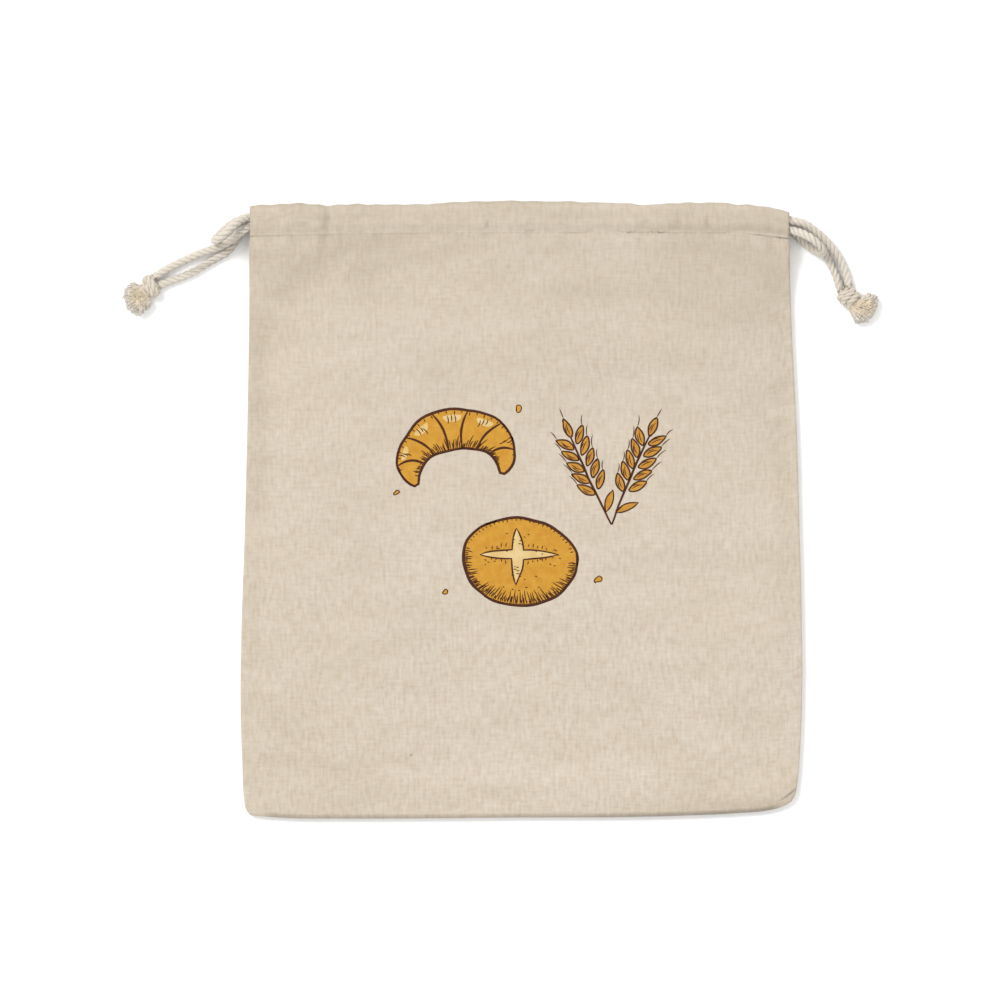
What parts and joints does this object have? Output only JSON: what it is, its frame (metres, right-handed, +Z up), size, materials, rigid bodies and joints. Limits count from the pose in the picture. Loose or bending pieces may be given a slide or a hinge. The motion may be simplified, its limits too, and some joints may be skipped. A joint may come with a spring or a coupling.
{
  "type": "linen bread bag",
  "caption": "Flat linen bread bag with a stitched drawstring tunnel along its mouth, knotted cotton drawcords at both sides and a printed front.",
  "frame": {"origin": "middle of the box round the cloth, on the underside of the back panel", "axes": "+Z up from the back panel to the printed front panel, +Y from the bottom seam to the mouth, +X to the right as seen from above"},
  "size_m": [0.3772, 0.3083, 0.0193],
  "materials": {
    "linen_front": "natural beige linen-look plain weave with slubs, printed in golden yellow, tan and dark brown",
    "linen_back": "natural beige linen-look plain weave with slubs, unprinted",
    "cotton_cord": "cream twisted cotton cord, matt",
    "cotton_knot": "cream twisted cotton, knotted, with frayed cut ends"
  },
  "bodies": {
    "root": {"front_panel": "linen_front", "back_panel": "linen_back", "drawcord_left": "cotton_cord", "drawcord_right": "cotton_cord", "knot_left": "cotton_knot", "knot_right": "cotton_knot"}
  },
  "joints": []
}
